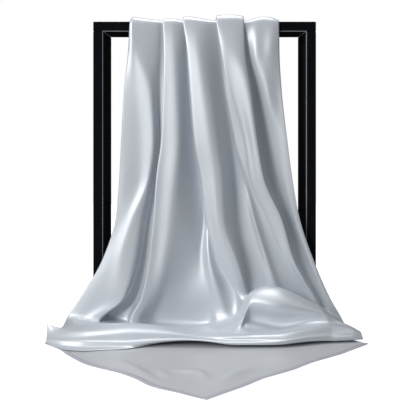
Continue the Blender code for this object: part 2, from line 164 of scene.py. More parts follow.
# The lines of the cloth from left to right.
FOLDS = (
    Fold("left_edge", (-120.9, -123.4, -129.6, -134.2, -137.2, -142.5, -161.9, -198.5, -219.6),
         (1.9, 2.5, 3.4, 3.6, 3.8, 5, 7, 10, 11), 2),
    Fold("left_swell", (-116.9, -117.5, -119.9, -122.9, -127.5, -133.5, -152.1, -184.8, -208.2),
         (3.5, 5.2, 4.6, 4.8, 5.2, 6.4, 9.2, 11.8, 12.8), 8),
    Fold("left_dip", (-114.5, -113.5, -108.5, -101.9, -103.4, -123.8, -144, -159.2, -193.7),
         (3.3, 5.4, 6, 6.4, 6.2, 8.4, 11, 14, 14.5), 9),
    Fold("left_crest", (-110.5, -107, -85.7, -81.5, -89.4, -113.9, -132.5, -136.7, -182.3),
         (3.2, 5.6, 10.6, 12.2, 11, 11.4, 14.2, 17, 17), 8),
    Fold("left_rim", (-75.1, -75, -78.1, -77.9, -85.7, -100.5, -109.5, -127.9, -165.6),
         (2.2, 3, 4, 6, 7, 10, 14.5, 18, 18), 3),
    Fold("left_valley", (-70.3, -70.4, -74.4, -75.2, -81.8, -93.9, -105.1, -126.5, -165.7),
         (1.8, 0, -2, -4, -7, -10, -10, -9, -8), 2),
    Fold("left_tuck", (-65, -63.1, -63.9, -67, -75, -79.8, -86, -101.9, -122.6),
         (1.8, 0, 0, 0, -1, -3, -2, -2, -3), 2),
    Fold("narrow_pleat", (-67.4, -65.9, -67, -70.3, -78.1, -82.6, -88.8, -101.4, -118.8),
         (2.8, 6, 8, 10, 12, 13, 14, 14, 13), 5),
    Fold("narrow_groove", (-62.5, -59.5, -60.2, -61.6, -67.8, -72.5, -78.7, -91.2, -107),
         (3.2, 7.4, 9.4, 11.4, 12.6, 13.4, 13.4, 13.6, 12.6), 5.5),
    Fold("narrow_back", (-52.5, -47.5, -44.1, -41.5, -46.2, -53.2, -62.6, -79.5, -96.5),
         (3.3, 8.8, 12, 15.2, 17.2, 17.8, 17, 10, 4), 5.5),
    Fold("narrow_slope", (-41.3, -37.9, -35.4, -33, -32.9, -34.4, -47.1, -66.5, -81.1),
         (2.4, 6, 7, 7.5, 8, 8.5, 8, 0.5, -5), 4.5),
    Fold("centre_valley", (-33.2, -30, -26, -22, -15.5, -13.9, -20.2, -39.4, -45.8),
         (1.8, 0, -3, -8, -8, -5, -4, -2, -3), 1.5),
    Fold("inner_rise", (-31.6, -28.4, -24.4, -19.6, -8.3, -1.8, -5.8, 3.8, 14.9),
         (1.8, -0.5, -3, -9, -13, -13, -6, 6, 7), 1.5),
    Fold("inner_ridge", (-30, -26.8, -22.8, -17.2, -5, 2.3, 7, 25.9, 34.6),
         (1.8, -0.8, -3, -8.5, -13, -10, 6, 14.5, 14), 1.8),
    Fold("inner_valley", (-28.4, -25.2, -21.2, -15.2, -3.2, 4.7, 15.8, 38.7, 46.5),
         (1.8, -0.5, -3, -7, -10, -7, 2, 11, 13), 2),
    Fold("centre_tuck", (-26.8, -23.5, -18.7, -12.3, -1, 7.1, 23, 56.8, 63.6),
         (1.8, 1, -1, -3, -4, -2, 5, 15, 19), 3),
    Fold("centre_pleat", (-35.1, -29, -24.7, -17.9, -7, 0.3, 18.7, 56.7, 66.6),
         (3.4, 7.6, 9.4, 11.6, 12.6, 14, 18, 21, 23), 8),
    Fold("centre_groove", (-28.3, -20.2, -13.7, -5.1, 4.6, 10.9, 29, 60.4, 70.5),
         (3.8, 10.4, 13.6, 16.2, 17.4, 18.6, 22, 22.4, 23.4), 9.5),
    Fold("centre_back", (-15.5, -9, -0.2, 10.1, 18, 20.3, 41.5, 65.1, 74.5),
         (3.8, 12, 16.6, 20.4, 22, 23.6, 26.6, 22, 22), 8),
    Fold("centre_shoulder", (-4.2, 0.6, 9.4, 20.5, 28.3, 31.4, 51.8, 69.2, 79.4),
         (3.2, 10.4, 15, 18.6, 21.6, 24.4, 28, 19.5, 18), 6),
    Fold("broad_valley", (13.5, 21.6, 31.4, 40.3, 45.9, 49.8, 58.7, 73.9, 86.3),
         (1.8, 1, -3, -6, -6.5, -5, -1, 6, 10), 3),
    Fold("short_rise", (16.8, 24.5, 34.6, 47.5, 61.9, 72.9, 88.6, 107.2, 118.1),
         (1.8, 0.4, -3, -6, -4, -1.5, 2.5, 7, 9), 3),
    Fold("short_ridge", (18.4, 25.8, 35.9, 49.2, 65.1, 79, 98.5, 119.7, 130.5),
         (1.8, 0.4, -2.5, -6, -4, 4, 9, 10, 11), 3.2),
    Fold("short_valley", (20, 27.4, 37.8, 52.4, 69.2, 88.2, 107, 132.8, 145.2),
         (1.8, 0.4, -2, -5, -4, -1, 2.5, 5.5, 7), 3.6),
    Fold("right_tuck", (24, 31.3, 43.3, 65, 74.5, 102.2, 129, 169.8, 182.3),
         (1.8, 2, 1, 1, 2, 4, 6, 9, 9), 5),
    Fold("right_pleat", (18.4, 25.7, 37.5, 58.9, 68.3, 96.2, 123.4, 166, 185.3),
         (2.8, 6, 8, 11, 13, 14, 15, 15, 13.5), 10),
    Fold("right_groove", (26.4, 35.1, 47.1, 67.6, 76.2, 103.8, 129.3, 169.6, 188.4),
         (3.4, 9, 9.6, 12, 14, 15.4, 16, 16.4, 14.2), 11.5),
    Fold("right_crown", (47.3, 55.1, 69.8, 79.2, 88.5, 117.9, 137, 173.9, 191),
         (3.6, 11.2, 17.8, 19.6, 20.6, 22.4, 21.2, 17.8, 14.8), 12),
    Fold("right_fold", (63.5, 64.7, 74, 83.9, 94.7, 122.6, 141, 176.1, 193.1),
         (3.1, 9.5, 15.5, 19.6, 21.6, 22.6, 21, 17.4, 14.4), 9),
    Fold("fold_tuck", (61.9, 62.9, 71.6, 81.2, 91.5, 120.8, 140.3, 176.6, 193.3),
         (1.8, 1, -1, -1, 0, 2, 5, 9, 10), 4),
    Fold("right_valley", (66.8, 69.3, 80.1, 92.3, 104, 130.6, 149.3, 183.3, 197.8),
         (1.8, -2, -7, -10, -10, -8, -4, 3, 6), 2),
    Fold("lobe_rise", (71.6, 73.2, 84.8, 98.7, 113.1, 134.4, 157.8, 187, 201.7),
         (1.8, 0.5, -5, -9, -8.5, -5, -1.5, 5, 7), 3),
    Fold("right_lobe", (82.8, 82.5, 92.2, 107.7, 121.1, 140, 162.8, 190.3, 205.4),
         (2.4, 7.4, 4.6, 0, 0.8, 2.2, 3.5, 7.5, 8.6), 7),
    Fold("right_dip", (95.7, 94.5, 102.2, 118.3, 128.5, 144.2, 166.2, 193.8, 210),
         (2.8, 8.4, 10.4, 7.8, 8, 8.6, 8.4, 8.8, 9.2), 9),
    Fold("right_rim", (110.2, 107.1, 113.5, 126.7, 135.4, 148.8, 170, 197.3, 214.2),
         (3.1, 10.4, 10.2, 12, 10.6, 9.6, 8.8, 9, 9), 7),
    Fold("right_edge", (120, 120.1, 123.4, 132, 140.2, 151.7, 172.6, 200.1, 218.1),
         (1.9, 8.6, 11.4, 13.2, 11.8, 9.6, 8, 8, 8.5), 2.5),
)

# The fold on the floor, from its left end to its right one.
FLOOR_STATIONS = (
    FloorStation(-237, 9, (-120, 9), (-130, 9), 0, (-139, 10), (-152, 29),
                 (-156, 9.5), (-159, 8), (-161, 6), (-161, 3.5), -3),
    FloorStation(-231, 15, (-117, 16), (-127, 17), 0, (-149, 11), (-154, 25.5),
                 (-163, 14), (-167, 10), (-170, 7.5), (-171, 4), -6),
    FloorStation(-224, 17, (-116, 18), (-126, 18), 0, (-151, 13), (-156, 22.5),
                 (-166, 17), (-171, 12), (-176, 8.5), (-177, 4), -8),
    FloorStation(-218, 17, (-114, 19), (-125, 19), 0, (-152, 12), (-157, 20.5),
                 (-168, 17), (-174, 12), (-180, 9), (-181, 4), -10),
    FloorStation(-203, 16, (-112, 17), (-124, 18), 0, (-150, 12), (-156, 22.5),
                 (-172, 18), (-179, 13), (-187, 9.5), (-189, 4), -13),
    FloorStation(-185, 13, (-108, 14), (-122, 16), 0, (-144, 13), (-150, 24.5),
                 (-172, 20), (-180, 14.5), (-190, 10.5), (-192, 4), -15),
    FloorStation(-158, 12, (-106, 12), (-120, 14), 0, (-139, 13), (-145, 25.5),
                 (-171, 19.4), (-176, 15.3), (-191, 11), (-193.5, 4.5), -13),
    FloorStation(-112, 6, (-105, 6), (-117, 6), 0, (-132, 6.5), (-138, 25),
                 (-155, 20.6), (-165, 15.2), (-188, 11), (-192, 5), -6),
    FloorStation(-98, 5, (-105.5, 5), (-118, 5), 0, (-134, 5.5), (-140, 24.3),
                 (-156.5, 20.2), (-165.5, 15.3), (-187, 12), (-190.5, 6.2), -1),
    FloorStation(-83, 4.5, (-106, 4.5), (-119, 4.5), 0, (-136, 5), (-142, 23.5),
                 (-158, 19.8), (-166, 15.5), (-186, 13), (-189, 8), 10),
    FloorStation(-52, 4, (-107, 4), (-121, 4), 0, (-139, 4.5), (-145, 21.5),
                 (-162, 19.2), (-170, 15.6), (-186, 14.2), (-188, 11.6), 32),
    FloorStation(-22, 3.6, (-108, 3.6), (-124, 3.6), 0, (-145.4, 4), (-151.4, 17.6),
                 (-175, 15.6), (-180, 15.2), (-185, 15.4), (-187.5, 14), 42),
    FloorStation(-7, 3.6, (-109, 3.6), (-126, 3.6), 0, (-147, 4), (-153, 15.2),
                 (-178, 14), (-181, 14.2), (-187, 14.6), (-189, 13.2), 44),
    FloorStation(15, 4.5, (-110, 4.5), (-130, 4.5), 0, (-154, 4.6), (-160, 14.8),
                 (-178, 13.4), (-183, 11.6), (-187, 11.4), (-189, 10), 40),
    FloorStation(30, 6.5, (-107, 7.5), (-122, 7), 0, (-156, 6), (-163.5, 16.3),
                 (-180.6, 14.8), (-183.2, 11.4), (-189.6, 9.2), (-191, 6), 30),
    FloorStation(42, 11, (-110, 13), (-124, 10), 0, (-152, 7), (-166.5, 15.6),
                 (-180.6, 14.8), (-183.2, 11.4), (-189.6, 9.2), (-191, 6), 18),
    FloorStation(54, 14, (-111, 17), (-124, 13), 0, (-148, 8), (-169.5, 16),
                 (-180.6, 14.8), (-183.2, 11.4), (-189.6, 9.2), (-191, 6), 18),
    FloorStation(64, 42, (-109, 50), (-120, 37), 5, (-138, 9), (-172, 16.8),
                 (-180.6, 14.8), (-183.2, 11.4), (-189.6, 9.2), (-191, 6), 18),
    FloorStation(73, 55, (-104, 67), (-122, 51), 13, (-131, 10), (-175.5, 17),
                 (-180.6, 14.8), (-183.2, 11.4), (-189.6, 9.2), (-191, 6), 18),
    FloorStation(85, 57, (-103, 73), (-127, 50), 15, (-125, 11), (-178, 17.4),
                 (-182.4, 15.2), (-184.6, 11.8), (-189.8, 9.4), (-191, 6), 18),
    FloorStation(100, 57, (-105, 74), (-133, 46.5), 16, (-126, 10), (-178.5, 18),
                 (-183.6, 15.4), (-185.6, 12.2), (-189.8, 9.6), (-191, 6), 18),
    FloorStation(115, 55, (-106, 72), (-134.5, 44.5), 14, (-127, 11), (-178, 19),
                 (-185, 15), (-187.5, 12), (-189.5, 9.5), (-189.5, 6), 18),
    FloorStation(130, 51, (-106, 68), (-135, 43), 12, (-129, 13), (-175, 20.5),
                 (-181, 17), (-184, 14), (-186.5, 11.5), (-186.5, 8), 18),
    FloorStation(145, 44.5, (-106, 61), (-134, 41.5), 9, (-133, 17), (-169, 22.5),
                 (-176, 19), (-179, 16), (-182.5, 13), (-182.5, 9), 18),
    FloorStation(160, 39.5, (-106, 54), (-132, 42), 6, (-138, 24), (-158, 25),
                 (-167, 21), (-170, 18.5), (-174, 15), (-174.5, 10), 18),
    FloorStation(174, 35, (-106, 49), (-130, 42), 2, (-135, 29), (-152, 26),
                 (-160, 21), (-164, 18), (-167, 14), (-167.5, 8), 18),
    FloorStation(190, 30, (-106, 43), (-127, 37), 0, (-133, 23.5), (-147.5, 22.4),
                 (-154, 17.6), (-158, 14), (-165, 10.5), (-167, 5), 18),
    FloorStation(206, 22, (-108, 33), (-123, 28.5), 0, (-132, 20.5), (-144.5, 20),
                 (-151, 16), (-155, 13), (-163, 10.5), (-165, 5), 18),
    FloorStation(222, 16, (-113, 23), (-124, 21), 0, (-133, 18), (-142.5, 17.5),
                 (-148, 15), (-152, 12.5), (-160, 10), (-162, 5), 18),
    FloorStation(238, 9, (-120, 12), (-129, 11), 0, (-136, 10), (-143, 10),
                 (-148, 8.5), (-151, 7.5), (-155, 6), (-156, 4), 18),
)

# The slim ridge that crosses the hollow: the (x, y) places it runs through, in millimetres,
# and in metres its height, its half width and the stretches of x where it rises and dies out.
POOL_RIDGE = (
    (26, -104), (34, -112), (43.6, -125), (54, -134), (68, -138), (83, -149), (98, -160),
    (109, -167), (118, -172),
)
RIDGE_HEIGHT = 0.0046
RIDGE_HALF_WIDTH = 0.0042
RIDGE_RISE = (0.022, 0.036)
RIDGE_END = (0.104, 0.120)

# How far each hem of the corner bows out, as (distance from the tip, bow) in millimetres.
LEFT_HEM_SWAY = (
    (0, 0), (18, 4), (44, 7.5), (87, 14.5), (121, 11), (147, 11), (180, 15.5), (214, 19),
    (265, 12.5), (300, 4), (338, 3),
)
RIGHT_HEM_SWAY = (
    (0, 0), (74, -0.6), (108, -2.6), (140, -1.2), (172, 1.6), (204, 1.4), (240, 3), (276, 6),
    (310, 5), (338, 4),
)


@dataclass(frozen=True)
class Ripple:
    """One soft ripple in the flat corner, in millimetres.

    Attributes:
        start: The (x, y) of one end.
        end: The (x, y) of the other.
        width: How far to each side it reaches.
        height: How high it stands.
    """

    start: tuple[float, float]
    end: tuple[float, float]
    width: float
    height: float


RIPPLES = (
    Ripple((-112, -262), (-72, -322), 11, 4.1),
    Ripple((-60, -292), (-48, -318), 8, 2.4),
    Ripple((-40, -290), (-6, -299), 9, 3.4),
    Ripple((-6, -299), (2, -332), 8, 2.7),
    Ripple((22, -340), (58, -286), 10, 3.7),
    Ripple((96, -246), (132, -238), 12, 2.4),
    Ripple((-150, -212), (-96, -222), 13, 2.5),
)

# A ripple's height dies out over this share of its length, from its middle.
RIPPLE_REACH = 0.55


def smooth_curve(places: Sequence[float] | np.ndarray, values: Sequence[float] | np.ndarray,
                 at: float | np.ndarray) -> np.ndarray:
    """Read a smooth curve that never overshoots its points.

    Args:
        places: Where the curve's values are given, rising or falling.
        values: The values there.
        at: Where to read it.

    Returns:
        The values at those places.
    """
    places = np.asarray(places, dtype=float)
    values = np.asarray(values, dtype=float)
    if places[0] > places[-1]:
        places = places[::-1]
        values = values[::-1]
    spans = np.diff(places)
    rises = np.diff(values) / spans
    slopes = np.zeros(len(values))
    slopes[0] = rises[0]
    slopes[-1] = rises[-1]
    before = rises[:-1]
    after = rises[1:]
    same = before * after > 0.0
    total = np.where(same, before + after, 1.0)
    slopes[1:-1] = np.where(same, 2.0 * before * after / total, 0.0)
    at = np.clip(np.asarray(at, dtype=float), places[0], places[-1])
    index = np.clip(np.searchsorted(places, at, side="right") - 1, 0, len(spans) - 1)
    span = spans[index]
    t = (at - places[index]) / span
    start = (1 + 2 * t) * (1 - t) ** 2 * values[index] + t * (1 - t) ** 2 * span * slopes[index]
    end = t * t * (3 - 2 * t) * values[index + 1] + t * t * (t - 1) * span * slopes[index + 1]
    return start + end


def smooth_step(low: float, high: float, at: float | np.ndarray) -> np.ndarray:
    """Return 0 below low, 1 above high and a smooth rise between."""
    t = np.clip((np.asarray(at, dtype=float) - low) / (high - low), 0.0, 1.0)
    return t * t * (3.0 - 2.0 * t)


def within(rise: tuple[float, float], end: tuple[float, float],
           at: float | np.ndarray) -> np.ndarray:
    """Return 1 from a smooth rise to a smooth end, and 0 outside them."""
    return smooth_step(*rise, at) * (1.0 - smooth_step(*end, at))


def averaged(before: np.ndarray, middle: np.ndarray, after: np.ndarray) -> np.ndarray:
    """Return points drawn halfway towards the mean of their neighbours."""
    return (before + 2.0 * middle + after) / 4.0


def grid_quads(rows: int, columns: int) -> np.ndarray:
    """Return the faces of a grid of points, rows - 1 by columns - 1 by 4."""
    index = np.arange(rows * columns).reshape(rows, columns)
    return np.stack([index[:-1, :-1], index[1:, :-1], index[1:, 1:], index[:-1, 1:]], axis=-1)


def thicken(item: bpy.types.Object, thickness: float) -> None:
    """Give a sheet its thickness, half to each side, and apply it.

    Args:
        item: The open sheet.
        thickness: Its thickness, in metres.
    """
    wall = item.modifiers.new("thickness", "SOLIDIFY")
    wall.thickness = thickness
    wall.offset = 0.0
    bpy.ops.object.select_all(action="DESELECT")
    bpy.context.view_layer.objects.active = item
    item.select_set(True)
    bpy.ops.object.modifier_apply(modifier=wall.name)
    item.select_set(False)


def cloth_places(grid: np.ndarray) -> np.ndarray:
    """Lay a grid out flat by the lengths of its rows and columns.

    Args:
        grid: Points, rows by columns by 3.

    Returns:
        The flat places, rows by columns by 2, in metres.
    """
    across = np.linalg.norm(np.diff(grid, axis=1), axis=2)
    along = np.linalg.norm(np.diff(grid, axis=0), axis=2)
    flat = np.zeros(grid.shape[:2] + (2,))
    flat[:, 1:, 0] = np.cumsum(across, axis=1)
    flat[:, :, 0] -= flat[:, -1:, 0] / 2
    flat[1:, :, 1] = np.cumsum(along, axis=0)
    return flat


class Sum(Enum):
    """What a material's math node works out."""

    LEAST = "MINIMUM"
    GREATEST = "MAXIMUM"
    PRODUCT = "MULTIPLY"
    SIZE = "ABSOLUTE"
    IS_LESS = "LESS_THAN"
    IS_NEAR = "COMPARE"


def feed(tree: bpy.types.NodeTree, socket: bpy.types.NodeSocket,
         value: bpy.types.NodeSocket | float | tuple[float, ...]) -> None:
    """Give a node's input its value.

    Args:
        tree: The material's nodes.
        socket: The input.
        value: A socket to link to it, or a plain number or colour.
    """
    if isinstance(value, bpy.types.NodeSocket):
        tree.links.new(value, socket)
    else:
        socket.default_value = value


def work_out(tree: bpy.types.NodeTree, kind: Sum,
             *values: bpy.types.NodeSocket | float) -> bpy.types.NodeSocket:
    """Add a math node.

    Args:
        tree: The material's nodes.
        kind: What it works out.
        values: What it works from, in its own order.

    Returns:
        The socket that carries the answer.
    """
    node = tree.nodes.new("ShaderNodeMath")
    node.operation = kind.value
    for socket, value in zip(node.inputs, values):
        feed(tree, socket, value)
    return node.outputs[0]


def blend(tree: bpy.types.NodeTree, share: bpy.types.NodeSocket,
          first: bpy.types.NodeSocket | tuple[float, ...],
          second: bpy.types.NodeSocket | tuple[float, ...]) -> bpy.types.NodeSocket:
    """Add a node that blends two colours.

    Args:
        tree: The material's nodes.
        share: How much of the second it takes.
        first: The first colour.
        second: The second colour.

    Returns:
        The socket that carries the colour.
    """
    node = tree.nodes.new("ShaderNodeMix")
    node.data_type = "RGBA"
    # A mix node's colours are its inputs 6 and 7, and its output 2.
    for place, value in ((0, share), (6, first), (7, second)):
        feed(tree, node.inputs[place], value)
    return node.outputs[2]


def shade(colour: tuple[float, ...], share: float) -> tuple[float, ...]:
    """Return a colour made lighter or darker, and solid."""
    return tuple(share * part for part in colour[:3]) + (1.0,)


def vary_gloss(tree: bpy.types.NodeTree, share: bpy.types.NodeSocket,
               low: float, high: float) -> None:
    """Let a material's roughness vary.

    Args:
        tree: The material's nodes.
        share: What it varies with, from 0 to 1.
        low: Its roughness at 0.
        high: Its roughness at 1.
    """
    gloss = tree.nodes.new("ShaderNodeMapRange")
    gloss.inputs["To Min"].default_value = low
    gloss.inputs["To Max"].default_value = high
    feed(tree, gloss.inputs["Value"], share)
    feed(tree, tree.nodes["Principled BSDF"].inputs["Roughness"], gloss.outputs["Result"])


@dataclass(frozen=True)
class SatinFinish:
    """Silver-grey satin: a soft gloss over faint bands of weave.

    Attributes:
        name: The material's name.
        colour: The cloth's colour.
        roughness: How wide its gloss spreads.
        metallic: How much of its colour its gloss takes.
        sheen: How much soft light its nap gives back at grazing angles.
        colour_stray: The share by which the colour strays to each side.
        gloss_stray: How far the roughness strays to each side.
        weave: How closely the weave's bands lie, as a wave texture's scale.
        weave_depth: The strength of the weave's bump.
        hem: The width of the hem along both edges of the cloth, or 0 for none.
        hem_and_sheen_tint: The colour of the doubled hem, with a painted sheen in its lavender
            cast.
        seam_tint: The colour along its sewing.
        seam_half: Half the width of that line, in metres.
    """

    name: str
    colour: tuple[float, float, float, float]
    roughness: float
    metallic: float
    sheen: float
    colour_stray: float = 0.035
    gloss_stray: float = 0.03
    weave: float = 70.0
    weave_depth: float = 0.05
    hem: float = 0.0
    # The doubled hem's colour, with a lavender painted sheen.
    hem_and_sheen_tint: tuple[float, float, float, float] = (0.52, 0.52, 0.58, 1.0)
    seam_tint: tuple[float, float, float, float] = (0.3, 0.3, 0.34, 1.0)
    seam_half: float = 0.0006

    def material(self) -> bpy.types.Material:
        """Make the satin.

        Returns:
            A new node material.
        """
        material = bpy.data.materials.new(self.name)
        material.use_nodes = True
        tree = material.node_tree
        shader = tree.nodes["Principled BSDF"]
        shader.inputs["Metallic"].default_value = self.metallic
        shader.inputs["Sheen Weight"].default_value = self.sheen
        shader.inputs["Sheen Roughness"].default_value = 0.4
        shader.inputs["IOR"].default_value = 1.5

        places = tree.nodes.new("ShaderNodeUVMap")
        places.uv_map = "cloth"
        cloud = tree.nodes.new("ShaderNodeTexNoise")
        cloud.inputs["Scale"].default_value = 14.0
        cloud.inputs["Detail"].default_value = 3.0
        feed(tree, cloud.inputs["Vector"], places.outputs["UV"])

        colour = blend(tree, cloud.outputs["Fac"], shade(self.colour, 1.0 - self.colour_stray),
                       shade(self.colour, 1.0 + self.colour_stray))
        if self.hem > 0.0:
            colour = self.hemmed(tree, places.outputs["UV"], colour)
        feed(tree, shader.inputs["Base Color"], colour)
        vary_gloss(tree, cloud.outputs["Fac"], self.roughness - self.gloss_stray,
                   self.roughness + self.gloss_stray)

        bands = tree.nodes.new("ShaderNodeTexWave")
        bands.wave_type = "BANDS"
        bands.bands_direction = "X"
        bands.inputs["Scale"].default_value = self.weave
        bands.inputs["Distortion"].default_value = 0.6
        bands.inputs["Detail"].default_value = 1.0
        feed(tree, bands.inputs["Vector"], places.outputs["UV"])
        bump = tree.nodes.new("ShaderNodeBump")
        bump.inputs["Strength"].default_value = self.weave_depth
        bump.inputs["Distance"].default_value = 0.0002
        feed(tree, bump.inputs["Height"], bands.outputs["Fac"])
        feed(tree, shader.inputs["Normal"], bump.outputs["Normal"])
        return material

    def hemmed(self, tree: bpy.types.NodeTree, place: bpy.types.NodeSocket,
               colour: bpy.types.NodeSocket) -> bpy.types.NodeSocket:
        """Lay the hem's colour, with its painted sheen, and the line of its sewing over the
        cloth's.

        Args:
            tree: The material's nodes.
            place: The place on the flat cloth, from its corner.
            colour: The plain cloth's colour.

        Returns:
            The socket that carries the colour.
        """
        split = tree.nodes.new("ShaderNodeSeparateXYZ")
        feed(tree, split.inputs[0], place)
        near = work_out(tree, Sum.LEAST, split.outputs["X"], split.outputs["Y"])
        inside = work_out(tree, Sum.IS_LESS, near, self.hem)
        sewing = work_out(tree, Sum.IS_NEAR, near, self.hem, self.seam_half)
        colour = blend(tree, inside, colour, self.hem_and_sheen_tint)
        return blend(tree, sewing, colour, self.seam_tint)


def cloth_sheet(name: str, points: np.ndarray, quads: np.ndarray, places: np.ndarray,
                thickness: float, finish: SatinFinish) -> bpy.types.Object:
    """Make a sheet of satin, with its places on the flat cloth as its UV map.

    Args:
        name: The piece's name.
        points: Points, one in a row, in metres.
        quads: The faces, one in a row, as four of the points each.
        places: Each point's place on the flat cloth, in metres.
        thickness: The cloth's thickness, in metres.
        finish: The satin that it takes.

    Returns:
        The finished piece.
    """
    used, faces = np.unique(quads, return_inverse=True)
    corners = faces.reshape(-1)
    mesh = bpy.data.meshes.new(name)
    mesh.from_pydata(points[used].tolist(), [], corners.reshape(-1, 4).tolist())
    layer = mesh.uv_layers.new(name="cloth")
    layer.data.foreach_set("uv", places[used][corners].reshape(-1).astype(np.float32))
    mesh.shade_smooth()
    item = bpy.data.objects.new(name, mesh)
    bpy.context.scene.collection.objects.link(item)
    thicken(item, thickness)
    item.data.materials.append(finish.material())
    return item


@dataclass(frozen=True)
class LacquerFinish:
    """Black lacquer on board, with a pale painted highlight along its inner edges.

    Attributes:
        half_inside: Half the width between the side boards, in metres.
        front: The y of the boards' front edges.
        ceiling: The height of the top board's underside.
        name: The material's name.
        colour: The lacquer's colour.
        painted_highlight: The colour of the painted highlight along the inner edges.
        grain_tint: How much lighter the colour is at the grain's lightest.
        roughness: How wide its gloss spreads.
        rougher: How far the grain takes the roughness down and up.
        highlight_width: How far from its edge the highlight is painted, in metres.
    """

    half_inside: float
    front: float
    ceiling: float
    name: str = "black_lacquer_finish"
    colour: tuple[float, float, float, float] = (0.0045, 0.005, 0.0065, 1.0)
    # The pale painted highlight on the inner edges, standing in for their glint.
    painted_highlight: tuple[float, float, float, float] = (0.30, 0.31, 0.33, 1.0)
    grain_tint: float = 1.6
    roughness: float = 0.4
    rougher: tuple[float, float] = (0.06, 0.08)
    highlight_width: float = 0.0011

    def highlight_edges(self, tree: bpy.types.NodeTree,
                   place: bpy.types.NodeSocket) -> bpy.types.NodeSocket:
        """Find the inner front edges and the upper inner corners, where the highlight is painted.

        Args:
            tree: The material's nodes.
            place: The place on the board, in the frame's axes.

        Returns:
            The socket that carries 1 there and 0 elsewhere.
        """
        split = tree.nodes.new("ShaderNodeSeparateXYZ")
        feed(tree, split.inputs[0], place)
        aside = work_out(tree, Sum.SIZE, split.outputs["X"])
        up = split.outputs["Z"]
        side = work_out(tree, Sum.IS_NEAR, aside, self.half_inside, self.highlight_width)
        face = work_out(tree, Sum.IS_NEAR, split.outputs["Y"], self.front, self.highlight_width)
        roof = work_out(tree, Sum.IS_NEAR, up, self.ceiling, self.highlight_width)
        below = work_out(tree, Sum.IS_LESS, up, self.ceiling + self.highlight_width)
        inside = work_out(tree, Sum.IS_LESS, aside, self.half_inside + self.highlight_width)
        posts = work_out(tree, Sum.PRODUCT, work_out(tree, Sum.PRODUCT, side, face), below)
        beam = work_out(tree, Sum.PRODUCT, work_out(tree, Sum.PRODUCT, roof, face), inside)
        corners = work_out(tree, Sum.PRODUCT, side, roof)
        edges = work_out(tree, Sum.GREATEST, posts, beam)
        return work_out(tree, Sum.GREATEST, edges, corners)

    def material(self) -> bpy.types.Material:
        """Make the lacquer.

        Returns:
            A new node material.
        """
        material = bpy.data.materials.new(self.name)
        material.use_nodes = True
        tree = material.node_tree
        shader = tree.nodes["Principled BSDF"]
        shader.inputs["Specular IOR Level"].default_value = 0.0
        shader.inputs["Sheen Weight"].default_value = 0.02
        place = tree.nodes.new("ShaderNodeTexCoord")
        grain = tree.nodes.new("ShaderNodeTexNoise")
        grain.inputs["Scale"].default_value = 60.0
        grain.inputs["Detail"].default_value = 4.0
        feed(tree, grain.inputs["Vector"], place.outputs["Object"])
        tint = blend(tree, grain.outputs["Fac"], self.colour,
                     shade(self.colour, self.grain_tint))
        # Paint a pale highlight along the inner edges, where their rounded corners would catch the
        # light.
        painted_highlight = self.highlight_edges(tree, place.outputs["Object"])
        feed(tree, shader.inputs["Base Color"], blend(tree, painted_highlight, tint, self.painted_highlight))
        smoother, rougher = self.rougher
        vary_gloss(tree, grain.outputs["Fac"], self.roughness - smoother,
                   self.roughness + rougher)
        return material


